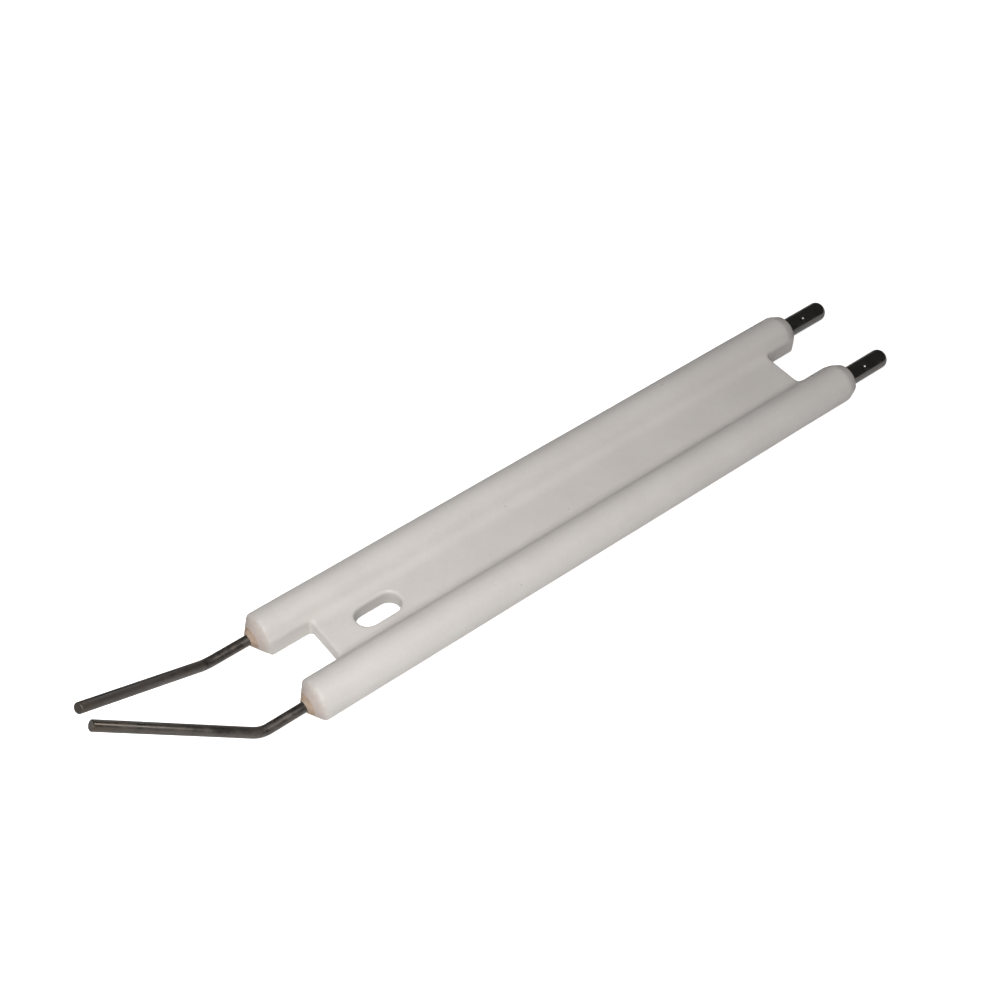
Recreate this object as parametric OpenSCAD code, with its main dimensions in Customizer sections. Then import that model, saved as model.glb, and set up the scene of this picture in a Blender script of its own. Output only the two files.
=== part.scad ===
// Double ignition electrode for an oil or gas burner.
// Two ceramic tubes bridged by a slotted web carry two bent electrode wires.
// Front, with the spark gap, is -Y; the terminal pins are at +Y; the web lies flat in XY.

/* [Ceramic block] */
// Outside diameter of each tube
tube_dia = 8; // [6.6:0.1:10]
// Distance between the tube axes
tube_pitch = 17.6; // [14.6:0.1:22]
// Length of the block, end face to end face
block_len = 130; // [100:1:160]
// Thickness of the web between the tubes
web_thk = 3.6; // [2.5:0.1:4.2]
// How far the web's middle plane lies below the tube axes
web_drop = 0.7; // [0:0.05:1]
// Radius where the web's upper side runs into a tube
upper_fillet = 2.7; // [1:0.1:3]
// Radius where the web's underside runs into a tube
lower_fillet = 1; // [0.5:0.1:1.5]
// How far the web's front end stands back from the end faces of the tubes
front_setback = 1.55; // [0.5:0.05:3]
// How far the web's rear end stands back from the end faces of the tubes
rear_setback = 1; // [0.5:0.05:3]
// Depth of the notch at the front, from the end faces of the tubes
front_notch = 9.9; // [6:0.1:14]
// Depth of the notch at the rear, from the end faces of the tubes
rear_notch = 9; // [6:0.1:14]
// Ledge of web left beside each tube in the notches
notch_ledge = 0.05; // [0.05:0.05:0.5]
// Length of the cone on the front end of each tube
front_cone = 1.55; // [0.5:0.05:2]
// Length of the cone on the rear end of each tube
rear_cone = 2.3; // [1:0.1:4]

/* [Clamp slot] */
// Width of the slot, for an M4 clamp screw
slot_w = 4.7; // [4.2:0.1:5.4]
// Length of the slot, end to end
slot_len = 9.1; // [7:0.1:14]
// Distance from the front end of the block to the slot's centre
slot_from_front = 21; // [18:0.5:40]
// Bevel around both rims of the slot
slot_bevel = 0.3; // [0.1:0.1:0.5]

/* [Electrode wires] */
// Wire diameter
wire_dia = 2; // [1.6:0.1:2.5]
// Straight wire from the block's end face to the corner of the bend
wire_lead = 9.3; // [7:0.1:20]
// Radius of the bend, at the wire's axis
bend_radius = 5; // [3:0.5:8]
// Distance from the bend to the tip, along the block
tip_reach = 25.2; // [18:0.1:40]
// Height of the tip above the tube axes
tip_rise = 17.3; // [8:0.1:25]
// Clear distance between the two tips
spark_gap = 2; // [1.5:0.1:5]
// Bevel on the cut end of a wire
tip_bevel = 0.15; // [0.05:0.05:0.3]
// How much the wire thins where it is bent, radial
bend_thinning = 0.01; // [0.01:0.01:0.03]

/* [Terminal pins] */
// Pin diameter, for a 4 mm lead socket
pin_dia = 4; // [3.3:0.1:4.8]
// Length of pin that stands out of the block
pin_len = 10.9; // [8:0.1:16]
// Length of the pin's shank, inside the block
pin_seat = 6; // [4:0.5:10]
// Step from the pin down to its shank, radial
pin_shoulder = 0.3; // [0.2:0.05:0.4]
// Radius on the pin's nose
pin_nose = 1.6; // [0.5:0.1:1.6]
// How far the wire reaches past the block's rear face, inside the pin
wire_in_pin = 6.5; // [5:0.5:7]
// Distance from the block's rear face to the stake marks
stake_from_face = 3.9; // [2.5:0.1:4.5]
// Depth of each stake mark
stake_depth = 0.35; // [0.1:0.05:0.4]
// Radius of the punch that made the stake marks
punch_radius = 0.6; // [0.4:0.1:0.8]
// Direction of the stake marks, turned up from +X
stake_angle = 62; // [0:1:180]

/* [Cement] */
// Cement around a pin's shank, radial
rear_cement_thk = 0.5; // [0.4:0.05:0.7]
// Ceramic left around the rear cement on the end face
rear_land = 0.85; // [0.3:0.05:0.9]
// Length of the cement bead in front of the block
bead_len = 0.65; // [0.3:0.05:1.5]
// Cement around the wire at the tip of the bead, radial
bead_tip_thk = 0.25; // [0.1:0.05:0.5]
// Cement around the wire at the base of the bead, radial
bead_base_thk = 1; // [0.8:0.05:1.3]
// Cement around the wire inside the block's front end, radial
front_cement_thk = 0.7; // [0.4:0.05:0.75]
// Depth of the front cement inside the block
front_cement_depth = 5; // [3:0.5:8]

/* [Clearances] */
// Between a wire and its bore in the block, radial
wire_clearance = 0.2; // [0.1:0.05:0.3]
// Between a wire and the socket in its pin, radial
socket_clearance = 0.04; // [0.01:0.01:0.08]
// Ceramic left around the front cement bead on the end face
front_land = 0.1; // [0.02:0.01:0.2]

/* [Hidden] */
$fn = 96;
// How far a cutter runs past the face it opens
past = 1;

left = -1;
right = 1;

tube_r = tube_dia / 2;
wire_r = wire_dia / 2;
pin_r = pin_dia / 2;
shank_r = pin_r - pin_shoulder;
bore_r = wire_r + wire_clearance;
socket_r = wire_r + socket_clearance;

// Stations along the block, measured from the slot's centre
front_y = -slot_from_front;
rear_y = front_y + block_len;
bend_y = front_y - wire_lead;
socket_end_y = rear_y + wire_in_pin;

// Front end face: cement bead, then a thin land, then the tube's cone
bead_tip_r = wire_r + bead_tip_thk;
bead_base_r = wire_r + bead_base_thk;
front_face_r = bead_base_r + front_land;
front_pocket_r = wire_r + front_cement_thk;

// Rear end face: pin, cement, then a land
rear_pocket_r = shank_r + rear_cement_thk;
rear_face_r = rear_pocket_r + rear_land;

// The web's faces, and the width the notches leave open between the tubes
web_top = web_thk / 2 - web_drop;
web_underside = -web_thk / 2 - web_drop;
notch_w = tube_pitch - tube_dia - 2 * notch_ledge;

// The leg of a wire turns up, and in towards the other wire
tip_inset = tube_pitch / 2 - (spark_gap + wire_dia) / 2;
leg_offset = norm([tip_inset, tip_rise]);
leg_angle = atan2(leg_offset, tip_reach);
leg_lean = atan2(tip_inset, tip_rise);
leg_len = norm([leg_offset, tip_reach]);
bend_tangent = bend_radius * tan(leg_angle / 2);
// The bend reaches into the straight wire at both ends, by half the run where it stays inside it
bend_lap = asin(sqrt(2 * bend_radius * bend_thinning) / bend_radius) / 2;

// Puts a shape that stands on its own Z axis on a tube's axis, with Z along +Y
module on_tube(side) {
  translate([side * tube_pitch / 2, 0, 0]) rotate([-90, 0, 0]) children();
}

module insulator_block() {
  color("gainsboro")
  difference() {
    union() {
      for (side = [left, right]) on_tube(side) tube_body();
      web();
    }
    for (side = [left, right]) on_tube(side) tube_bores();
    notch(front_y - past, front_y + front_notch);
    notch(rear_y - rear_notch, rear_y + past);
    translate([0, 0, -web_drop]) {
      slot_cut();
      for (face = [0, 1]) mirror([0, 0, face]) slot_rim();
    }
  }
}

module tube_body() {
  rotate_extrude()
    polygon([
      [0, front_y],
      [front_face_r, front_y],
      [tube_r, front_y + front_cone],
      [tube_r, rear_y - rear_cone],
      [rear_face_r, rear_y],
      [0, rear_y]
    ]);
}

// Wire bore and the pockets for the cement
module tube_bores() {
  translate([0, 0, front_y - past]) cylinder(h = block_len + 2 * past, r = bore_r);
  translate([0, 0, front_y - past])
    cylinder(h = front_cement_depth + past, r = front_pocket_r);
  translate([0, 0, rear_y - pin_seat]) cylinder(h = pin_seat + past, r = rear_pocket_r);
}

// The web runs from axis to axis; its fillets stop where the tubes' cones start
module web() {
  along_block(front_y + front_setback, rear_y - rear_setback)
    translate([-tube_pitch / 2, web_underside]) square([tube_pitch, web_thk]);
  along_block(front_y + front_cone, rear_y - rear_cone)
    for (across = [0, 1]) mirror([across, 0]) {
      fillet_section(web_top, upper_fillet);
      mirror([0, 1]) fillet_section(-web_underside, lower_fillet);
    }
}

// Extrudes a cross-section, drawn in X and Z, from one station along the block to another
module along_block(from_y, to_y) {
  translate([0, to_y, 0]) rotate([90, 0, 0]) linear_extrude(to_y - from_y) children();
}

// Fills the corner between the left tube and a web face at height face_z
module fillet_section(face_z, fillet_r) {
  axis_x = -tube_pitch / 2;
  centre_z = face_z + fillet_r;
  centre_x = axis_x + sqrt(pow(tube_r + fillet_r, 2) - pow(centre_z, 2));
  difference() {
    polygon([[axis_x, 0], [centre_x, face_z - web_thk / 2], [centre_x, centre_z]]);
    translate([centre_x, centre_z]) circle(r = fillet_r);
  }
}

module notch(from_y, to_y) {
  depth = tube_dia + 2 * past;
  translate([-notch_w / 2, from_y, -depth / 2]) cube([notch_w, to_y - from_y, depth]);
}

module slot_cut() {
  depth = web_thk + 2 * past;
  run = slot_len - slot_w;
  translate([-slot_w / 2, -run / 2, -depth / 2]) cube([slot_w, run, depth]);
  for (end = [-1, 1]) translate([0, end * run / 2, -depth / 2]) cylinder(h = depth, d = slot_w);
}

// Bevel around the upper rim of the slot
module slot_rim() {
  run = slot_len - slot_w;
  low_z = web_thk / 2 - slot_bevel;
  high_z = web_thk / 2 + past;
  low_r = slot_w / 2;
  high_r = low_r + slot_bevel + past;
  for (end = [-1, 1])
    translate([0, end * run / 2, low_z]) cylinder(h = high_z - low_z, r1 = low_r, r2 = high_r);
  translate([0, run / 2, 0]) rotate([90, 0, 0]) linear_extrude(run)
    polygon([[-low_r, low_z], [low_r, low_z], [high_r, high_z], [-high_r, high_z]]);
}

module electrode_wire(side) {
  color("dimgray")
  translate([side * tube_pitch / 2, bend_y, 0]) {
    rotate([-90, 0, 0]) translate([0, 0, bend_tangent])
      cylinder(h = socket_end_y - bend_y - bend_tangent, r = wire_r);
    rotate([0, -side * leg_lean, 0]) {
      elbow();
      rotate([90 - leg_angle, 0, 0]) translate([0, 0, bend_tangent]) leg();
    }
  }
}

// Slice of a ring that turns from the tube's axis up through leg_angle
module elbow() {
  translate([0, bend_tangent, bend_radius]) rotate([0, 90, 0])
    rotate([0, 0, -leg_angle - bend_lap]) rotate_extrude(angle = leg_angle + 2 * bend_lap)
      translate([bend_radius, 0]) circle(r = wire_r - bend_thinning);
}

module leg() {
  run = leg_len - bend_tangent;
  rotate_extrude()
    polygon([
      [0, 0],
      [wire_r, 0],
      [wire_r, run - tip_bevel],
      [wire_r - tip_bevel, run],
      [0, run]
    ]);
}

module terminal_pin(side) {
  color("#2b2a29")
  difference() {
    on_tube(side) rotate_extrude() pin_section();
    on_tube(side) translate([0, 0, rear_y - pin_seat - past])
      cylinder(h = socket_end_y - rear_y + pin_seat + past, r = socket_r);
    for (turn = [0, 180]) stake_mark(side, stake_angle + turn);
  }
}

// Half section of the pin: shank, body and rounded nose
module pin_section() {
  end_y = rear_y + pin_len;
  translate([0, rear_y - pin_seat]) square([shank_r, pin_seat]);
  translate([0, rear_y]) square([pin_r, pin_len - pin_nose]);
  translate([0, end_y - pin_nose]) square([pin_r - pin_nose, pin_nose]);
  translate([pin_r - pin_nose, end_y - pin_nose]) intersection() {
    circle(r = pin_nose);
    square(pin_nose);
  }
}

module stake_mark(side, angle) {
  offset_r = pin_r + punch_radius - stake_depth;
  translate([
    side * tube_pitch / 2 + offset_r * cos(angle),
    rear_y + stake_from_face,
    offset_r * sin(angle)
  ]) sphere(r = punch_radius);
}

// Cement plug in the front pocket, drawn out to a bead around the wire
module front_cement(side) {
  color("#d8b79c")
  on_tube(side) rotate_extrude()
    polygon([
      [wire_r, front_y + front_cement_depth],
      [wire_r, front_y - bead_len],
      [bead_tip_r, front_y - bead_len],
      [bead_base_r, front_y],
      [front_pocket_r, front_y],
      [front_pocket_r, front_y + front_cement_depth]
    ]);
}

// Cement sleeve around the pin's shank
module rear_cement(side) {
  color("#d3c3b0")
  on_tube(side) rotate_extrude()
    translate([shank_r, rear_y - pin_seat]) square([rear_cement_thk, pin_seat]);
}

insulator_block();
electrode_wire(left);  // electrode_wire_left
electrode_wire(right);  // electrode_wire_right
terminal_pin(left);  // terminal_pin_left
terminal_pin(right);  // terminal_pin_right
front_cement(left);  // front_cement_left
front_cement(right);  // front_cement_right
rear_cement(left);  // rear_cement_left
rear_cement(right);  // rear_cement_right
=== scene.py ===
import bpy
import bmesh
import math
from mathutils import Matrix, Vector, noise


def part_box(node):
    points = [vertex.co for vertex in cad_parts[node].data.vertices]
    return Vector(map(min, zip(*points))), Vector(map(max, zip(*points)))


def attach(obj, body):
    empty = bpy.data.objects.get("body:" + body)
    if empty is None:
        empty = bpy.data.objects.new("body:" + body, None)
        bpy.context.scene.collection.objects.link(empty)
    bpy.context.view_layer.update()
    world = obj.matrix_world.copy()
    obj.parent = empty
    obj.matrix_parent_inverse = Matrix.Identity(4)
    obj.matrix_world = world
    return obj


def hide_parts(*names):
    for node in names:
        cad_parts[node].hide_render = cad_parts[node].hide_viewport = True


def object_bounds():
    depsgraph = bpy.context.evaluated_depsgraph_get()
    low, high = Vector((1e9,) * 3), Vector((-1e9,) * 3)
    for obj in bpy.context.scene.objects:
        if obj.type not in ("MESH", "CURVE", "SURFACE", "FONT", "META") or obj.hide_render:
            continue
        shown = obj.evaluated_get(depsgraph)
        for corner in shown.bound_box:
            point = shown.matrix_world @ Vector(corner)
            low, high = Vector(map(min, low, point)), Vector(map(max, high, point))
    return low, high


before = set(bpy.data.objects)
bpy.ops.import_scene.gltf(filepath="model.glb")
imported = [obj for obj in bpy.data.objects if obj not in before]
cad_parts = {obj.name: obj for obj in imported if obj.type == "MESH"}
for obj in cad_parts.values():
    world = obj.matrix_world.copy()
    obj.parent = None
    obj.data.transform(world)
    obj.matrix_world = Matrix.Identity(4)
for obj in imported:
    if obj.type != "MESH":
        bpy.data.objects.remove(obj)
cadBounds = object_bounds()
mm = 0.001
print("frame loaded,", len(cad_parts), "nodes")


def boxOf(node):
    low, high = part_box(node)
    return Vector(low), Vector(high)


def addObject(name, mesh):
    piece = bpy.data.objects.new(name, mesh)
    bpy.context.scene.collection.objects.link(piece)
    return piece


def finishPiece(piece, node):
    for face in piece.data.polygons:
        face.use_smooth = True
    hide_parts(node)
    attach(piece, "root")
    return piece


# where things are, read off the frame; the left half mirrors the right one
sides = {"left": -1, "right": 1}
blockLow, blockHigh = boxOf("insulator_block")
pinLow, pinHigh = boxOf("terminal_pin_right")
wireLow, wireHigh = boxOf("electrode_wire_right")
beadLow, beadHigh = boxOf("front_cement_right")
sleeveLow, sleeveHigh = boxOf("rear_cement_right")

axisX = (pinLow.x + pinHigh.x) / 2
frontFace = blockLow.y
rearFace = blockHigh.y
tubeRadius = (blockHigh.z - blockLow.z) / 2
pinRadius = (pinHigh.x - pinLow.x) / 2
print("tube radius %.2f mm, tube axes at %.2f mm" % (tubeRadius / mm, axisX / mm))


view = {
    "aim": (-0.0077, 0.03348, 0.0),
    "azimuth": 50.5,      # degrees round from -Y towards +X
    "elevation": 49.0,
    "distance": 0.3188,
    "roll": 1.8,
    "lens": 61.1,
}


def addCamera():
    data = bpy.data.cameras.new("camera")
    data.lens = view["lens"]
    data.sensor_width = 36
    data.clip_start = 0.01
    camera = addObject("camera", data)
    turn = math.radians(view["azimuth"])
    tilt = math.radians(view["elevation"])
    back = Vector((math.sin(turn) * math.cos(tilt), -math.cos(turn) * math.cos(tilt), math.sin(tilt)))
    facing = back.to_track_quat("Z", "Y").to_matrix().to_4x4()
    roll = Matrix.Rotation(math.radians(view["roll"]), 4, "Z")
    camera.matrix_world = Matrix.Translation(Vector(view["aim"]) + back * view["distance"]) @ facing @ roll
    bpy.context.scene.camera = camera


# a soft box over the front end, so the light falls off towards the pins
lamps = [
    {"name": "keyLight", "place": (0.10, -0.09, 0.24), "aim": (0, 0.02, 0), "size": 0.16, "power": 0.73},
    {"name": "topLight", "place": (0.0, -0.10, 0.28), "aim": (0, 0.02, 0), "size": 0.25, "power": 0.05},
]
room = {"dim": 0.045, "bright": 0.125, "color": (1.0, 0.995, 0.985, 1)}


def addLights():
    for lamp in lamps:
        data = bpy.data.lights.new(lamp["name"], "AREA")
        data.shape = "DISK"
        data.size = lamp["size"]
        data.energy = lamp["power"]
        light = addObject(lamp["name"], data)
        light.location = lamp["place"]
        toLamp = Vector(lamp["place"]) - Vector(lamp["aim"])
        light.rotation_euler = toLamp.to_track_quat("Z", "Y").to_euler()
    # the room is dimmer behind the pins than in front of the tips, but looks white to the camera
    world = bpy.data.worlds.new("studio")
    world.use_nodes = True
    tree = world.node_tree
    background = tree.nodes["Background"]
    background.inputs["Color"].default_value = room["color"]
    way = tree.nodes.new("ShaderNodeTexCoord")
    parts = tree.nodes.new("ShaderNodeSeparateXYZ")
    spread = tree.nodes.new("ShaderNodeMapRange")
    spread.inputs[1].default_value = 1
    spread.inputs[2].default_value = -1
    spread.inputs[3].default_value = room["dim"]
    spread.inputs[4].default_value = room["bright"]
    tree.links.new(way.outputs["Generated"], parts.inputs[0])
    tree.links.new(parts.outputs[1], spread.inputs[0])
    rays = tree.nodes.new("ShaderNodeLightPath")
    seen = tree.nodes.new("ShaderNodeMath")
    seen.operation = "ADD"
    tree.links.new(spread.outputs[0], seen.inputs[0])
    tree.links.new(rays.outputs["Is Camera Ray"], seen.inputs[1])
    tree.links.new(seen.outputs[0], background.inputs["Strength"])
    bpy.context.scene.world = world
    bpy.context.scene.view_settings.view_transform = "Standard"


floorLook = {"half": 2.5, "tone": (0.93, 0.93, 0.93, 1), "lift": 0.9}


# a pale table that stays white to the camera, without lighting the part more
def addFloor():
    half = floorLook["half"]
    mesh = bpy.data.meshes.new("floor")
    z = cadBounds[0][2]
    corners = [(-half, -half, z), (half, -half, z), (half, half, z), (-half, half, z)]
    mesh.from_pydata(corners, [], [(0, 1, 2, 3)])
    floor = addObject("floor", mesh)
    material = bpy.data.materials.new("paleFloor")
    material.use_nodes = True
    shader = material.node_tree.nodes["Principled BSDF"]
    shader.inputs["Base Color"].default_value = floorLook["tone"]
    shader.inputs["Roughness"].default_value = 0.9
    shader.inputs["Specular IOR Level"].default_value = 0.1
    shader.inputs["Emission Color"].default_value = (1, 1, 1, 1)
    tree = material.node_tree
    rays = tree.nodes.new("ShaderNodeLightPath")
    lift = tree.nodes.new("ShaderNodeMath")
    lift.operation = "MULTIPLY"
    lift.inputs[1].default_value = floorLook["lift"]
    tree.links.new(rays.outputs["Is Camera Ray"], lift.inputs[0])
    tree.links.new(lift.outputs[0], shader.inputs["Emission Strength"])
    mesh.materials.append(material)


addCamera()
addLights()
addFloor()
print("camera, lights and floor placed")


# adds a node; inputs are sockets to link or values to set, by name or number
def addNode(tree, kind, inputs=None, **settings):
    fresh = tree.nodes.new(kind)
    for key, value in settings.items():
        setattr(fresh, key, value)
    for key, value in (inputs or {}).items():
        if isinstance(value, bpy.types.NodeSocket):
            tree.links.new(value, fresh.inputs[key])
        else:
            fresh.inputs[key].default_value = value
    return fresh


def math2(tree, operation, a, b=0.0, clamp=False):
    return addNode(tree, "ShaderNodeMath", {0: a, 1: b}, operation=operation, use_clamp=clamp).outputs[0]


def vector2(tree, operation, a, b):
    return addNode(tree, "ShaderNodeVectorMath", {0: a, 1: b}, operation=operation)


def ramp(tree, value, low, high, toLow=0.0, toHigh=1.0):
    fresh = addNode(tree, "ShaderNodeMapRange", {0: value, 1: low, 2: high, 3: toLow, 4: toHigh},
                    interpolation_type="SMOOTHSTEP")
    return fresh.outputs[0]


def blendColor(tree, factor, a, b, mode="MIX"):
    fresh = tree.nodes.new("ShaderNodeMix")
    fresh.data_type = "RGBA"
    fresh.blend_type = mode
    for key, value in ((0, factor), (6, a), (7, b)):
        if isinstance(value, bpy.types.NodeSocket):
            tree.links.new(value, fresh.inputs[key])
        else:
            fresh.inputs[key].default_value = value
    return fresh.outputs[2]


def newShaderGroup(name, inputs, outputs):
    tree = bpy.data.node_groups.new(name, "ShaderNodeTree")
    for label, kind, value in inputs:
        socket = tree.interface.new_socket(name=label, in_out="INPUT", socket_type=kind)
        if value is not None:
            socket.default_value = value
    for label, kind in outputs:
        tree.interface.new_socket(name=label, in_out="OUTPUT", socket_type=kind)
    return tree, tree.nodes.new("NodeGroupInput"), tree.nodes.new("NodeGroupOutput")


# cloudy value from two sizes of noise
def buildMottle():
    tree, entry, leave = newShaderGroup("mottle", [
        ("Vector", "NodeSocketVector", None),
        ("Scale", "NodeSocketFloat", 200.0),
        ("Contrast", "NodeSocketFloat", 1.0),
    ], [("Value", "NodeSocketFloat")])
    broad = addNode(tree, "ShaderNodeTexNoise",
                    {"Vector": entry.outputs["Vector"], "Scale": entry.outputs["Scale"], "Detail": 4.0})
    fineScale = math2(tree, "MULTIPLY", entry.outputs["Scale"], 5.3)
    fine = addNode(tree, "ShaderNodeTexNoise",
                   {"Vector": entry.outputs["Vector"], "Scale": fineScale, "Detail": 3.0})
    both = math2(tree, "ADD", math2(tree, "MULTIPLY", broad.outputs[0], 0.7),
                 math2(tree, "MULTIPLY", fine.outputs[0], 0.3))
    spread = math2(tree, "MULTIPLY", math2(tree, "SUBTRACT", both, 0.5), entry.outputs["Contrast"])
    value = math2(tree, "ADD", math2(tree, "MULTIPLY", spread, 2.0), 0.5, clamp=True)
    tree.links.new(value, leave.inputs["Value"])
    return tree


# scattered specks: a cell is kept when its random number passes the share
def buildSpecks():
    tree, entry, leave = newShaderGroup("specks", [
        ("Vector", "NodeSocketVector", None),
        ("Scale", "NodeSocketFloat", 400.0),
        ("Size", "NodeSocketFloat", 0.2),
        ("Share", "NodeSocketFloat", 0.1),
    ], [("Mask", "NodeSocketFloat")])
    cells = addNode(tree, "ShaderNodeTexVoronoi",
                    {"Vector": entry.outputs["Vector"], "Scale": entry.outputs["Scale"]})
    chance = addNode(tree, "ShaderNodeSeparateColor", {0: cells.outputs["Color"]})
    kept = math2(tree, "LESS_THAN", chance.outputs[0], entry.outputs["Share"])
    reach = math2(tree, "MULTIPLY", entry.outputs["Size"], math2(tree, "ADD", chance.outputs[1], 0.4))
    share = math2(tree, "DIVIDE", cells.outputs["Distance"], reach)
    closeness = math2(tree, "SUBTRACT", 1.0, share, clamp=True)
    spot = math2(tree, "MULTIPLY", ramp(tree, closeness, 0.0, 0.5), kept)
    tree.links.new(spot, leave.inputs["Mask"])
    return tree


# place round the nearer tube axis: both tubes share one set of coordinates
def buildRoundAxis():
    tree, entry, leave = newShaderGroup("roundAxis", [
        ("Vector", "NodeSocketVector", None),
        ("Half Pitch", "NodeSocketFloat", axisX),
    ], [("Vector", "NodeSocketVector"), ("Radius", "NodeSocketFloat"), ("Along", "NodeSocketFloat")])
    parts = addNode(tree, "ShaderNodeSeparateXYZ", {0: entry.outputs["Vector"]})
    pitch = math2(tree, "MULTIPLY", entry.outputs["Half Pitch"], 2.0)
    wrapped = addNode(tree, "ShaderNodeMath", {0: parts.outputs[0], 1: pitch, 2: 0.0}, operation="WRAP")
    across = math2(tree, "SUBTRACT", wrapped.outputs[0], entry.outputs["Half Pitch"])
    local = addNode(tree, "ShaderNodeCombineXYZ", {0: across, 1: parts.outputs[1], 2: parts.outputs[2]})
    flat = addNode(tree, "ShaderNodeCombineXYZ", {0: across, 1: 0.0, 2: parts.outputs[2]})
    radius = addNode(tree, "ShaderNodeVectorMath", {0: flat.outputs[0]}, operation="LENGTH")
    tree.links.new(local.outputs[0], leave.inputs["Vector"])
    tree.links.new(radius.outputs["Value"], leave.inputs["Radius"])
    tree.links.new(parts.outputs[1], leave.inputs["Along"])
    return tree


# fine lines drawn out along Y
def buildDrawnLines():
    tree, entry, leave = newShaderGroup("drawnLines", [
        ("Vector", "NodeSocketVector", None),
        ("Scale", "NodeSocketFloat", 3000.0),
        ("Stretch", "NodeSocketFloat", 0.02),
    ], [("Value", "NodeSocketFloat")])
    squeeze = addNode(tree, "ShaderNodeCombineXYZ", {0: 1.0, 1: entry.outputs["Stretch"], 2: 1.0})
    drawn = vector2(tree, "MULTIPLY", entry.outputs["Vector"], squeeze.outputs[0])
    lines = addNode(tree, "ShaderNodeTexNoise",
                    {"Vector": drawn.outputs[0], "Scale": entry.outputs["Scale"], "Detail": 2.0})
    tree.links.new(ramp(tree, lines.outputs[0], 0.3, 0.7), leave.inputs["Value"])
    return tree


# turns a height in metres into a bumped normal
def buildRelief():
    tree, entry, leave = newShaderGroup("relief", [
        ("Height", "NodeSocketFloat", 0.0),
        ("Depth", "NodeSocketFloat", 0.0001),
        ("Strength", "NodeSocketFloat", 1.0),
    ], [("Normal", "NodeSocketVector")])
    bump = addNode(tree, "ShaderNodeBump", {
        "Height": entry.outputs["Height"],
        "Distance": entry.outputs["Depth"],
        "Strength": entry.outputs["Strength"],
    })
    tree.links.new(bump.outputs[0], leave.inputs["Normal"])
    return tree


shared = {
    "mottle": buildMottle(),
    "specks": buildSpecks(),
    "roundAxis": buildRoundAxis(),
    "drawnLines": buildDrawnLines(),
    "relief": buildRelief(),
}


def useGroup(tree, name, inputs):
    fresh = tree.nodes.new("ShaderNodeGroup")
    fresh.node_tree = shared[name]
    for key, value in inputs.items():
        if isinstance(value, bpy.types.NodeSocket):
            tree.links.new(value, fresh.inputs[key])
        else:
            fresh.inputs[key].default_value = value
    return fresh


def newMaterial(name):
    material = bpy.data.materials.new(name)
    material.use_nodes = True
    tree = material.node_tree
    place = tree.nodes.new("ShaderNodeTexCoord").outputs["Object"]
    return material, tree, tree.nodes["Principled BSDF"], place


print("shared shader groups built")


glaze = {
    "pale": (0.700, 0.664, 0.634, 1),
    "deep": (0.632, 0.596, 0.566, 1),
    "bare": (0.485, 0.412, 0.369, 1),     # unglazed cones, warmer
    "speck": (0.30, 0.22, 0.16, 1),
    "bareLength": 1.75 * mm,
    "rearBareLength": 1.1 * mm,
    "specular": 0.42,
}


def glazeMaterial():
    material, tree, shader, place = newMaterial("satinGlaze")
    tube = useGroup(tree, "roundAxis", {"Vector": place})
    along = tube.outputs["Along"]
    clouds = useGroup(tree, "mottle", {"Vector": place, "Scale": 95.0, "Contrast": 1.5})
    grain = useGroup(tree, "mottle", {"Vector": place, "Scale": 1500.0, "Contrast": 1.2})
    press = useGroup(tree, "drawnLines", {"Vector": place, "Scale": 1400.0, "Stretch": 0.03})
    specks = useGroup(tree, "specks", {"Vector": place, "Scale": 420.0, "Size": 0.085, "Share": 0.07})
    pits = useGroup(tree, "specks", {"Vector": place, "Scale": 900.0, "Size": 0.16, "Share": 0.16})
    tone = math2(tree, "ADD", math2(tree, "MULTIPLY", clouds.outputs[0], 0.6),
                 math2(tree, "MULTIPLY", grain.outputs[0], 0.4))
    color = blendColor(tree, tone, glaze["deep"], glaze["pale"])
    # the glaze stops short of the ends on a wavering line
    waver = math2(tree, "MULTIPLY", math2(tree, "SUBTRACT", grain.outputs[0], 0.5), 0.5 * mm)
    edge = math2(tree, "ADD", along, waver)
    bareFront = ramp(tree, edge, frontFace + glaze["bareLength"] - 1.5 * mm,
                     frontFace + glaze["bareLength"] + 0.5 * mm, 1.0, 0.0)
    bareRear = ramp(tree, edge, rearFace - glaze["rearBareLength"] - 0.3 * mm,
                    rearFace - glaze["rearBareLength"] + 0.4 * mm)
    color = blendColor(tree, math2(tree, "MULTIPLY", bareFront, 0.9), color, glaze["bare"])
    color = blendColor(tree, math2(tree, "MULTIPLY", bareRear, 0.35), color, glaze["bare"])
    color = blendColor(tree, math2(tree, "MULTIPLY", specks.outputs[0], 0.55), color, glaze["speck"])
    bare = math2(tree, "MAXIMUM", bareFront, bareRear)
    rough = math2(tree, "ADD", math2(tree, "MULTIPLY", clouds.outputs[0], 0.10), 0.36)
    rough = math2(tree, "ADD", rough, math2(tree, "MULTIPLY", bare, 0.32), clamp=True)
    height = math2(tree, "ADD", math2(tree, "MULTIPLY", grain.outputs[0], 0.55),
                   math2(tree, "MULTIPLY", press.outputs[0], 0.30))
    height = math2(tree, "SUBTRACT", height, math2(tree, "MULTIPLY", pits.outputs[0], 0.9))
    height = math2(tree, "MULTIPLY", height, math2(tree, "ADD", bare, 0.8))
    relief = useGroup(tree, "relief", {"Height": height, "Depth": 0.022 * mm, "Strength": 0.8})
    tree.links.new(color, shader.inputs["Base Color"])
    tree.links.new(rough, shader.inputs["Roughness"])
    tree.links.new(relief.outputs[0], shader.inputs["Normal"])
    shader.inputs["Specular IOR Level"].default_value = glaze["specular"]
    return material


block = {
    "voxel": 0.36 * mm,
    "softening": 4,
    "waver": 0.035 * mm,     # the tubes are not perfectly true
}


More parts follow.
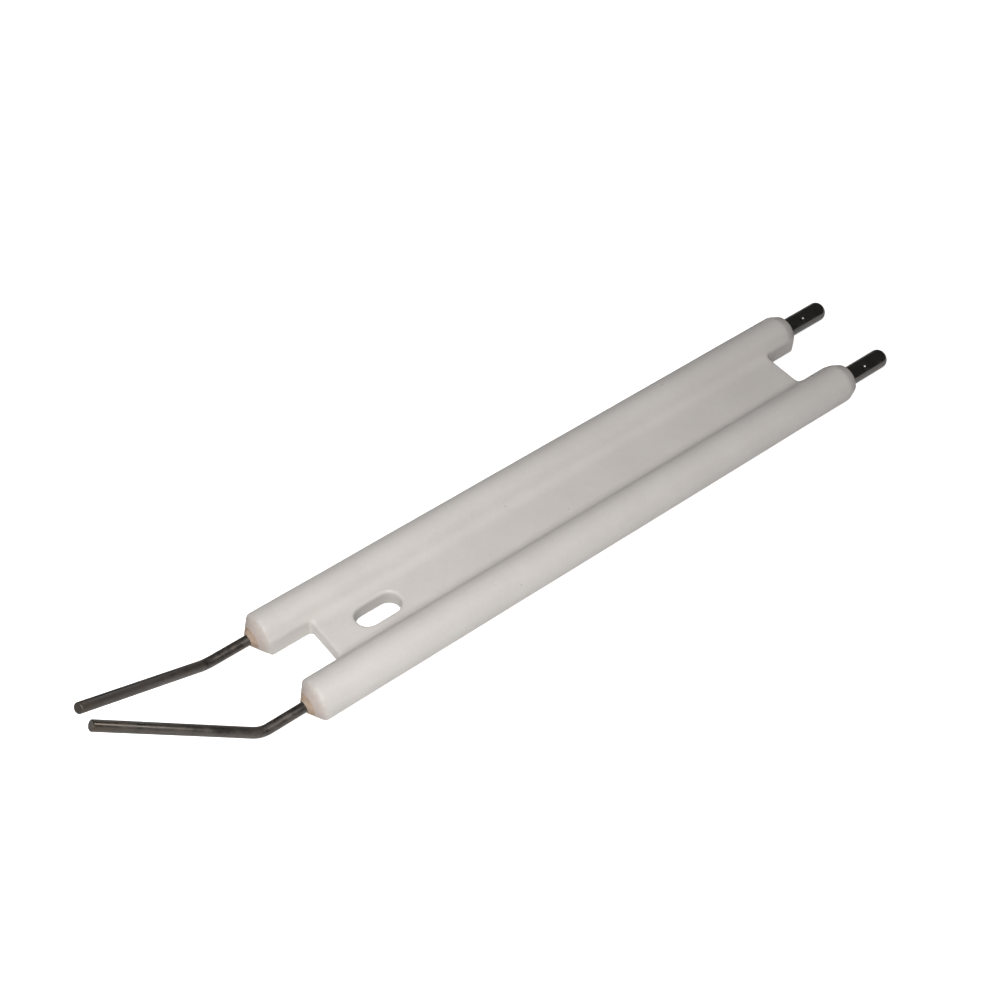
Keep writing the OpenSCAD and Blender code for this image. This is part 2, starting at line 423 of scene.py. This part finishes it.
# the pressed block, its edges rounded off by remeshing and smoothing
def makeBlock():
    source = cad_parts["insulator_block"]
    rough = addObject("roughBlock", source.data.copy())
    weld = rough.modifiers.new("weld", "WELD")
    weld.merge_threshold = 0.002 * mm
    remesh = rough.modifiers.new("remesh", "REMESH")
    remesh.mode = "VOXEL"
    remesh.voxel_size = block["voxel"]
    smooth = rough.modifiers.new("smooth", "SMOOTH")
    smooth.factor = 0.5
    smooth.iterations = block["softening"]
    rough.data.update()
    depsgraph = bpy.context.evaluated_depsgraph_get()
    mesh = bpy.data.meshes.new_from_object(rough.evaluated_get(depsgraph))
    mesh.name = "insulatorBlock"
    bpy.data.objects.remove(rough)
    normals = [v.normal.copy() for v in mesh.vertices]
    for vertex, normal in zip(mesh.vertices, normals):
        push = noise.noise(vertex.co * 70) * block["waver"]
        vertex.co += normal * push
        vertex.co.x = min(max(vertex.co.x, blockLow.x), blockHigh.x)
        vertex.co.z = min(max(vertex.co.z, blockLow.z), blockHigh.z)
    mesh.materials.clear()
    mesh.materials.append(glazeMaterial())
    piece = addObject("insulatorBlock", mesh)
    return finishPiece(piece, "insulator_block")


makeBlock()
print("ceramic block made")


wire = {
    "radius": 1.0 * mm,
    "lead": 9.3 * mm,
    "reach": 25.2 * mm,
    "rise": 17.3 * mm,
    "gap": 2.0 * mm,
    "bendRadius": 5.0 * mm,
    "bendSteps": 14,
    "sides": 40,
    "tipTaper": 0.86,
    "tipBevel": 0.15 * mm,
    "dark": (0.075, 0.068, 0.062, 1),
    "oxide": (0.170, 0.148, 0.130, 1),
    "straw": (0.20, 0.145, 0.085, 1),
    "cut": (0.10, 0.095, 0.09, 1),
}
corner = Vector((axisX, frontFace - wire["lead"], 0))
tip = Vector((wire["gap"] / 2 + wire["radius"], corner.y - wire["reach"], wire["rise"]))
legWay = (tip - corner).normalized()


# path in, round wire out: fillets the corner, sweeps a circle, closes both ends
def buildWireNodes():
    tree = bpy.data.node_groups.new("sweptWire", "GeometryNodeTree")
    tree.interface.new_socket(name="Geometry", in_out="INPUT", socket_type="NodeSocketGeometry")
    for label, kind in (("Bend Radius", "NodeSocketFloat"), ("Wire Radius", "NodeSocketFloat"),
                        ("Bend Steps", "NodeSocketInt"), ("Sides", "NodeSocketInt"),
                        ("Material", "NodeSocketMaterial")):
        tree.interface.new_socket(name=label, in_out="INPUT", socket_type=kind)
    tree.interface.new_socket(name="Geometry", in_out="OUTPUT", socket_type="NodeSocketGeometry")
    entry = tree.nodes.new("NodeGroupInput")
    leave = tree.nodes.new("NodeGroupOutput")
    bend = addNode(tree, "GeometryNodeFilletCurve", {
        "Curve": entry.outputs["Geometry"],
        "Radius": entry.outputs["Bend Radius"],
        "Count": entry.outputs["Bend Steps"],
    }, mode="POLY")
    circle = addNode(tree, "GeometryNodeCurvePrimitiveCircle", {
        "Resolution": entry.outputs["Sides"],
        "Radius": entry.outputs["Wire Radius"],
    })
    sweep = addNode(tree, "GeometryNodeCurveToMesh", {
        "Curve": bend.outputs["Curve"],
        "Profile Curve": circle.outputs["Curve"],
        "Fill Caps": True,
    })
    scaleSocket = sweep.inputs.get("Scale")
    if scaleSocket is not None:
        thickness = addNode(tree, "GeometryNodeInputRadius")
        tree.links.new(thickness.outputs[0], scaleSocket)
    realize = addNode(tree, "GeometryNodeRealizeInstances", {"Geometry": sweep.outputs[0]})
    paint = addNode(tree, "GeometryNodeSetMaterial",
                    {"Geometry": realize.outputs[0], "Material": entry.outputs["Material"]})
    tree.links.new(paint.outputs[0], leave.inputs[0])
    return tree


def bakeNodes(host, tree, values, name):
    modifier = host.modifiers.new("build", "NODES")
    modifier.node_group = tree
    sockets = {item.name: item.identifier for item in tree.interface.items_tree
               if item.item_type == "SOCKET" and item.in_out == "INPUT"}
    for label, value in values.items():
        modifier[sockets[label]] = value
    depsgraph = bpy.context.evaluated_depsgraph_get()
    mesh = bpy.data.meshes.new_from_object(host.evaluated_get(depsgraph))
    mesh.name = name
    host.modifiers.remove(modifier)
    return mesh


def wireMaterial():
    material, tree, shader, place = newMaterial("oxidisedWire")
    tube = useGroup(tree, "roundAxis", {"Vector": place})
    # on the bent leg the lines follow the leg, on the straight part the tube
    parts = addNode(tree, "ShaderNodeSeparateXYZ", {0: place})
    mirrored = addNode(tree, "ShaderNodeCombineXYZ", {
        0: math2(tree, "ABSOLUTE", parts.outputs[0]), 1: parts.outputs[1], 2: parts.outputs[2]})
    fromCorner = vector2(tree, "SUBTRACT", mirrored.outputs[0], tuple(corner)).outputs[0]
    sideWay = legWay.cross(Vector((0, 0, 1))).normalized()
    upWay = sideWay.cross(legWay)
    legAlong = vector2(tree, "DOT_PRODUCT", fromCorner, tuple(legWay)).outputs["Value"]
    legPlace = addNode(tree, "ShaderNodeCombineXYZ", {
        0: vector2(tree, "DOT_PRODUCT", fromCorner, tuple(sideWay)).outputs["Value"],
        1: legAlong,
        2: vector2(tree, "DOT_PRODUCT", fromCorner, tuple(upWay)).outputs["Value"],
    })
    onLeg = ramp(tree, parts.outputs[1], corner.y + 0.8 * mm, corner.y - 0.8 * mm)
    follow = addNode(tree, "ShaderNodeMix", {0: onLeg}, data_type="VECTOR")
    tree.links.new(tube.outputs["Vector"], follow.inputs[4])
    tree.links.new(legPlace.outputs[0], follow.inputs[5])
    lines = useGroup(tree, "drawnLines", {"Vector": follow.outputs[1], "Scale": 3800.0, "Stretch": 0.02})
    patches = useGroup(tree, "mottle", {"Vector": place, "Scale": 420.0, "Contrast": 2.2})
    scale = useGroup(tree, "mottle", {"Vector": place, "Scale": 4200.0, "Contrast": 1.8})
    flakes = useGroup(tree, "specks", {"Vector": place, "Scale": 1300.0, "Size": 0.3, "Share": 0.22})
    color = blendColor(tree, math2(tree, "MULTIPLY", patches.outputs[0], 0.75), wire["dark"], wire["oxide"])
    color = blendColor(tree, math2(tree, "MULTIPLY", lines.outputs[0], 0.28), color, wire["oxide"])
    tipNear = ramp(tree, legAlong, (tip - corner).length - 7 * mm, (tip - corner).length)
    heat = math2(tree, "MULTIPLY", tipNear, math2(tree, "MULTIPLY", scale.outputs[0], 0.45))
    color = blendColor(tree, heat, color, wire["straw"])
    color = blendColor(tree, math2(tree, "MULTIPLY", flakes.outputs[0], 0.35), color, wire["cut"])
    # the sheared end shows paler metal
    cut = ramp(tree, legAlong, (tip - corner).length - 0.10 * mm, (tip - corner).length - 0.03 * mm)
    grained = math2(tree, "ADD", math2(tree, "MULTIPLY", scale.outputs[0], 0.3), 0.15)
    cutFace = math2(tree, "MULTIPLY", cut, grained)
    color = blendColor(tree, cutFace, color, wire["cut"])
    rough = math2(tree, "ADD", math2(tree, "MULTIPLY", patches.outputs[0], 0.28), 0.34)
    rough = math2(tree, "SUBTRACT", rough, math2(tree, "MULTIPLY", lines.outputs[0], 0.08), clamp=True)
    height = math2(tree, "ADD", math2(tree, "MULTIPLY", lines.outputs[0], 0.5),
                   math2(tree, "MULTIPLY", scale.outputs[0], 0.6))
    height = math2(tree, "ADD", height, math2(tree, "MULTIPLY", flakes.outputs[0], 0.5))
    relief = useGroup(tree, "relief", {"Height": height, "Depth": 0.014 * mm, "Strength": 0.9})
    tree.links.new(color, shader.inputs["Base Color"])
    tree.links.new(rough, shader.inputs["Roughness"])
    tree.links.new(relief.outputs[0], shader.inputs["Normal"])
    shader.inputs["Metallic"].default_value = 0.85
    return material


def makeWires():
    nodes = buildWireNodes()
    material = wireMaterial()
    for side, sign in sides.items():
        path = bpy.data.curves.new("wirePath", "CURVE")
        path.dimensions = "3D"
        spline = path.splines.new("POLY")
        nearTip = tip - legWay * wire["tipBevel"]
        pinEnd = Vector((axisX, wireHigh.y, 0))
        stations = [(pinEnd, 1.0), (corner, 1.0), (nearTip, 1.0), (tip, wire["tipTaper"])]
        spline.points.add(len(stations) - 1)
        for point, (where, thickness) in zip(spline.points, stations):
            point.co = (sign * where.x, where.y, where.z, 1)
            point.radius = thickness
        host = addObject("wireHost", path)
        mesh = bakeNodes(host, nodes, {
            "Bend Radius": wire["bendRadius"],
            "Wire Radius": wire["radius"],
            "Bend Steps": wire["bendSteps"],
            "Sides": wire["sides"],
            "Material": material,
        }, "electrodeWire_" + side)
        bpy.data.objects.remove(host)
        piece = addObject("electrodeWire_" + side, mesh)
        finishPiece(piece, "electrode_wire_" + side)
        for face in piece.data.polygons:
            face.use_smooth = len(face.vertices) <= 4


makeWires()
print("electrode wires made")


pin = {
    "sides": 120,
    "ringSpacing": 0.11 * mm,
    "nose": 1.6 * mm,
    "shank": 1.7 * mm,
    "shoulderBevel": 0.08 * mm,
    "stakeFromFace": 3.9 * mm,
    "stakeAngle": 62,
    "stakeReach": 0.5 * mm,
    "stakeDepth": 0.33 * mm,
    "stakeRim": 0.02 * mm,
    "dark": (0.190, 0.181, 0.171, 1),
    "worn": (0.300, 0.286, 0.270, 1),
    # painted shade: a near-black colour for the inside of the stake dimples
    "paintedDimpleShade": (0.035, 0.033, 0.030, 1),
}
stakeSpots = [Vector((pinRadius * math.cos(math.radians(pin["stakeAngle"] + turn)),
                      rearFace + pin["stakeFromFace"],
                      pinRadius * math.sin(math.radians(pin["stakeAngle"] + turn)))) for turn in (0, 180)]


# turns a list of (radius, y) round a tube axis; radius 0 closes an end with one point
def turnedMesh(name, profile, sides, axis):
    shape = bmesh.new()
    rings = []
    for radius, y in profile:
        if radius < 1e-7:
            rings.append([shape.verts.new((axis, y, 0))])
        else:
            angles = [2 * math.pi * i / sides for i in range(sides)]
            rings.append([shape.verts.new((axis + radius * math.cos(a), y, radius * math.sin(a)))
                          for a in angles])
    for first, second in zip(rings, rings[1:]):
        for i in range(sides):
            j = (i + 1) % sides
            corners = [first[i % len(first)], first[j % len(first)]]
            corners += [second[j % len(second)], second[i % len(second)]]
            corners = list(dict.fromkeys(corners))     # a closing point counts once
            if len(corners) > 2:
                shape.faces.new(corners)
    bmesh.ops.recalc_face_normals(shape, faces=shape.faces)
    mesh = bpy.data.meshes.new(name)
    shape.to_mesh(mesh)
    shape.free()
    return mesh


def weldRings(mesh):
    shape = bmesh.new()
    shape.from_mesh(mesh)
    bmesh.ops.remove_doubles(shape, verts=shape.verts, dist=0.0005 * mm)
    bmesh.ops.recalc_face_normals(shape, faces=shape.faces)
    shape.to_mesh(mesh)
    shape.free()


def pinMaterial():
    material, tree, shader, place = newMaterial("blackenedPin")
    tube = useGroup(tree, "roundAxis", {"Vector": place})
    local = tube.outputs["Vector"]
    lines = useGroup(tree, "drawnLines", {"Vector": local, "Scale": 5200.0, "Stretch": 0.012})
    smudge = useGroup(tree, "mottle", {"Vector": place, "Scale": 500.0, "Contrast": 2.0})
    haze = useGroup(tree, "mottle", {"Vector": place, "Scale": 3600.0, "Contrast": 1.4})
    scratches = useGroup(tree, "specks", {"Vector": local, "Scale": 1500.0, "Size": 0.22, "Share": 0.10})
    far = [vector2(tree, "DISTANCE", local, tuple(spot)).outputs["Value"] for spot in stakeSpots]
    nearest = math2(tree, "MINIMUM", far[0], far[1])
    # the stake dimples are painted near-black and made rougher: painted shade in the recess
    paintedDimpleShade = ramp(tree, nearest, 0.22 * mm, 0.52 * mm, 1.0, 0.0)
    noseWear = ramp(tree, tube.outputs["Along"], pinHigh.y - 2.2 * mm, pinHigh.y - 0.2 * mm)
    worn = math2(tree, "MULTIPLY", noseWear, smudge.outputs[0])
    color = blendColor(tree, math2(tree, "MULTIPLY", smudge.outputs[0], 0.4), pin["dark"], pin["worn"])
    color = blendColor(tree, math2(tree, "MULTIPLY", lines.outputs[0], 0.25), color, pin["worn"])
    color = blendColor(tree, math2(tree, "MULTIPLY", worn, 0.5), color, pin["worn"])
    color = blendColor(tree, math2(tree, "MULTIPLY", scratches.outputs[0], 0.35), color, pin["worn"])
    color = blendColor(tree, paintedDimpleShade, color, pin["paintedDimpleShade"])
    rough = math2(tree, "ADD", math2(tree, "MULTIPLY", smudge.outputs[0], 0.12), 0.12)
    rough = math2(tree, "ADD", rough, math2(tree, "MULTIPLY", haze.outputs[0], 0.07))
    rough = math2(tree, "ADD", rough, math2(tree, "MULTIPLY", paintedDimpleShade, 0.3), clamp=True)
    height = math2(tree, "ADD", math2(tree, "MULTIPLY", lines.outputs[0], 0.6),
                   math2(tree, "MULTIPLY", scratches.outputs[0], -0.5))
    relief = useGroup(tree, "relief", {"Height": height, "Depth": 0.005 * mm, "Strength": 0.7})
    tree.links.new(color, shader.inputs["Base Color"])
    tree.links.new(rough, shader.inputs["Roughness"])
    tree.links.new(relief.outputs[0], shader.inputs["Normal"])
    shader.inputs["Metallic"].default_value = 1.0
    return material


# a turned pin: closed shank end, shoulder, body with fine rings, rounded nose
def pinProfile():
    start = pinLow.y
    end = pinHigh.y
    bevel = pin["shoulderBevel"]
    profile = [(0, start), (pin["shank"] - bevel, start), (pin["shank"], start + bevel),
               (pin["shank"], rearFace), (pinRadius - bevel, rearFace), (pinRadius, rearFace + bevel)]
    bodyEnd = end - pin["nose"]
    rings = int((bodyEnd - rearFace - bevel) / pin["ringSpacing"])
    for i in range(1, rings + 1):
        profile.append((pinRadius, rearFace + bevel + (bodyEnd - rearFace - bevel) * i / rings))
    flat = pinRadius - pin["nose"]
    for i in range(1, 17):
        angle = math.pi / 2 * i / 16
        profile.append((flat + pin["nose"] * math.cos(angle), bodyEnd + pin["nose"] * math.sin(angle)))
    profile.append((0, end))
    return profile


# punches the stake marks into the body; a shallow furrow runs round each
def stake(mesh, axis):
    for vertex in mesh.vertices:
        local = vertex.co - Vector((axis, 0, 0))
        radial = Vector((local.x, 0, local.z))
        if radial.length < pinRadius * 0.98 or local.y < rearFace + 0.2 * mm:
            continue
        away = min((local - spot).length for spot in stakeSpots)
        reach = pin["stakeReach"]
        if away < reach:
            push = -pin["stakeDepth"] * (1 - (away / reach) ** 2)
        elif away < 1.8 * reach:
            push = -pin["stakeRim"] * math.sin(math.pi * (away - reach) / (0.8 * reach))
        else:
            continue
        vertex.co += radial.normalized() * push


def makePins():
    material = pinMaterial()
    for side, sign in sides.items():
        mesh = turnedMesh("terminalPin_" + side, pinProfile(), pin["sides"], sign * axisX)
        stake(mesh, sign * axisX)
        mesh.materials.append(material)
        piece = addObject("terminalPin_" + side, mesh)
        finishPiece(piece, "terminal_pin_" + side)


makePins()
print("terminal pins made")


cement = {
    "sides": 96,
    "pocket": 1.7 * mm,
    "tipRadius": 1.25 * mm,
    "baseRadius": 2.0 * mm,
    "lapRadius": 2.22 * mm,     # a feather edge over the foot of the ceramic's cone
    "lapReach": 0.16 * mm,
    "lapEnd": 0.3 * mm,
    "wander": 0.07 * mm,
    "frontGrains": 5.0e7,     # per square metre
    "rearGrains": 4.0e7,
    "grainSize": 0.055 * mm,
    "pale": (0.52, 0.395, 0.310, 1),
    "deep": (0.37, 0.260, 0.190, 1),
    "grain": (0.60, 0.50, 0.415, 1),
    "iron": (0.16, 0.10, 0.07, 1),
}


def cementMaterial():
    material, tree, shader, place = newMaterial("sandyCement")
    broad = useGroup(tree, "mottle", {"Vector": place, "Scale": 900.0, "Contrast": 2.0})
    sand = useGroup(tree, "mottle", {"Vector": place, "Scale": 6500.0, "Contrast": 2.2})
    quartz = useGroup(tree, "specks", {"Vector": place, "Scale": 4200.0, "Size": 0.4, "Share": 0.3})
    iron = useGroup(tree, "specks", {"Vector": place, "Scale": 3000.0, "Size": 0.3, "Share": 0.08})
    color = blendColor(tree, broad.outputs[0], cement["deep"], cement["pale"])
    color = blendColor(tree, math2(tree, "MULTIPLY", sand.outputs[0], 0.35), color, cement["grain"])
    color = blendColor(tree, math2(tree, "MULTIPLY", quartz.outputs[0], 0.6), color, cement["grain"])
    color = blendColor(tree, math2(tree, "MULTIPLY", iron.outputs[0], 0.8), color, cement["iron"])
    rough = math2(tree, "ADD", math2(tree, "MULTIPLY", sand.outputs[0], 0.15), 0.78, clamp=True)
    height = math2(tree, "ADD", math2(tree, "MULTIPLY", sand.outputs[0], 0.7),
                   math2(tree, "MULTIPLY", quartz.outputs[0], 0.8))
    relief = useGroup(tree, "relief", {"Height": height, "Depth": 0.03 * mm, "Strength": 1.0})
    tree.links.new(color, shader.inputs["Base Color"])
    tree.links.new(rough, shader.inputs["Roughness"])
    tree.links.new(relief.outputs[0], shader.inputs["Normal"])
    shader.inputs["Specular IOR Level"].default_value = 0.25
    return material


# sand grains scattered on the part of a surface that lies in front of a plane
def buildSandNodes():
    tree = bpy.data.node_groups.new("sandGrains", "GeometryNodeTree")
    tree.interface.new_socket(name="Geometry", in_out="INPUT", socket_type="NodeSocketGeometry")
    for label, kind in (("Density", "NodeSocketFloat"), ("Grain Size", "NodeSocketFloat"),
                        ("Low Y", "NodeSocketFloat"), ("High Y", "NodeSocketFloat"),
                        ("Seed", "NodeSocketInt"), ("Material", "NodeSocketMaterial")):
        tree.interface.new_socket(name=label, in_out="INPUT", socket_type=kind)
    tree.interface.new_socket(name="Geometry", in_out="OUTPUT", socket_type="NodeSocketGeometry")
    entry = tree.nodes.new("NodeGroupInput")
    leave = tree.nodes.new("NodeGroupOutput")
    where = addNode(tree, "GeometryNodeInputPosition")
    parts = addNode(tree, "ShaderNodeSeparateXYZ", {0: where.outputs[0]})
    above = addNode(tree, "FunctionNodeCompare", {0: parts.outputs[1], 1: entry.outputs["Low Y"]},
                    operation="GREATER_THAN")
    below = addNode(tree, "FunctionNodeCompare", {0: parts.outputs[1], 1: entry.outputs["High Y"]},
                    operation="LESS_THAN")
    both = addNode(tree, "FunctionNodeBooleanMath", {0: above.outputs[0], 1: below.outputs[0]})
    points = addNode(tree, "GeometryNodeDistributePointsOnFaces", {
        "Mesh": entry.outputs["Geometry"],
        "Selection": both.outputs[0],
        "Density": entry.outputs["Density"],
        "Seed": entry.outputs["Seed"],
    })
    ball = addNode(tree, "GeometryNodeMeshIcoSphere",
                   {"Radius": entry.outputs["Grain Size"], "Subdivisions": 1})
    turnMax = (6.28, 6.28, 6.28)
    spin = addNode(tree, "FunctionNodeRandomValue", {1: turnMax, "Seed": entry.outputs["Seed"]},
                   data_type="FLOAT_VECTOR")
    size = addNode(tree, "FunctionNodeRandomValue", {0: (0.45, 0.45, 0.35), 1: (1.25, 1.1, 0.9)},
                   data_type="FLOAT_VECTOR")
    scatter = addNode(tree, "GeometryNodeInstanceOnPoints", {
        "Points": points.outputs["Points"],
        "Instance": ball.outputs["Mesh"],
        "Rotation": spin.outputs[0],
        "Scale": size.outputs[0],
    })
    joined = addNode(tree, "GeometryNodeJoinGeometry")
    tree.links.new(entry.outputs["Geometry"], joined.inputs[0])
    tree.links.new(scatter.outputs[0], joined.inputs[0])
    realize = addNode(tree, "GeometryNodeRealizeInstances", {"Geometry": joined.outputs[0]})
    paint = addNode(tree, "GeometryNodeSetMaterial",
                    {"Geometry": realize.outputs[0], "Material": entry.outputs["Material"]})
    tree.links.new(paint.outputs[0], leave.inputs[0])
    return tree


def roughen(mesh, axis, lowY, highY, amount):
    for vertex in mesh.vertices:
        local = vertex.co - Vector((axis, 0, 0))
        if local.y <= lowY or local.y >= highY:
            continue
        radial = Vector((local.x, 0, local.z))
        if radial.length < 1.02 * wire["radius"]:
            continue
        lump = noise.noise(vertex.co * 1400) + 0.5 * noise.noise(vertex.co * 3400)
        vertex.co += radial.normalized() * (lump - 0.35) * amount


def smoothSteps(first, second, count):
    return [(first[0] + (second[0] - first[0]) * i / count, first[1] + (second[1] - first[1]) * i / count)
            for i in range(1, count + 1)]


def makeFrontCement(material, sand):
    for number, (side, sign) in enumerate(sides.items()):
        inner = wire["radius"]
        tipY = beadLow.y
        profile = [(inner, beadHigh.y), (inner, tipY)]
        profile += smoothSteps((inner, tipY), (cement["tipRadius"], tipY), 4)
        profile += smoothSteps((cement["tipRadius"], tipY), (cement["baseRadius"], frontFace), 12)
        lap = (cement["lapRadius"], frontFace + cement["lapReach"])
        profile += smoothSteps((cement["baseRadius"], frontFace), lap, 3)
        profile += [(cement["pocket"], frontFace + cement["lapEnd"]), (cement["pocket"], beadHigh.y)]
        profile.append((inner, beadHigh.y))
        mesh = turnedMesh("bead", profile, cement["sides"], sign * axisX)
        weldRings(mesh)
        roughen(mesh, sign * axisX, tipY - 0.001 * mm, frontFace - 0.03 * mm, cement["wander"])
        host = addObject("beadHost", mesh)
        baked = bakeNodes(host, sand, {
            "Density": cement["frontGrains"],
            "Grain Size": cement["grainSize"],
            "Low Y": tipY + 0.05 * mm,
            "High Y": frontFace - 0.02 * mm,
            "Seed": 7 + number,
            "Material": material,
        }, "frontCement_" + side)
        bpy.data.objects.remove(host)
        piece = addObject("frontCement_" + side, baked)
        finishPiece(piece, "front_cement_" + side)


def makeRearCement(material, sand):
    for number, (side, sign) in enumerate(sides.items()):
        inner = pin["shank"]
        outer = (sleeveHigh.x - sleeveLow.x) / 2
        endY = sleeveHigh.y
        profile = [(inner, sleeveLow.y)] + smoothSteps((inner, sleeveLow.y), (inner, endY - 0.1 * mm), 3)
        profile += smoothSteps((inner, endY - 0.02 * mm), (outer, endY - 0.02 * mm), 8)
        profile += [(outer, sleeveLow.y), (inner, sleeveLow.y)]
        mesh = turnedMesh("sleeve", profile, cement["sides"], sign * axisX)
        weldRings(mesh)
        for vertex in mesh.vertices:
            if vertex.co.y > endY - 0.05 * mm:
                vertex.co.y -= (0.5 + 0.5 * noise.noise(vertex.co * 2600)) * 0.06 * mm
        host = addObject("sleeveHost", mesh)
        baked = bakeNodes(host, sand, {
            "Density": cement["rearGrains"],
            "Grain Size": cement["grainSize"] * 0.6,
            "Low Y": endY - 0.12 * mm,
            "High Y": endY + 0.1 * mm,
            "Seed": 21 + number,
            "Material": material,
        }, "rearCement_" + side)
        bpy.data.objects.remove(host)
        piece = addObject("rearCement_" + side, baked)
        finishPiece(piece, "rear_cement_" + side)


cementLook = cementMaterial()
sandNodes = buildSandNodes()
makeFrontCement(cementLook, sandNodes)
makeRearCement(cementLook, sandNodes)
print("cement made")
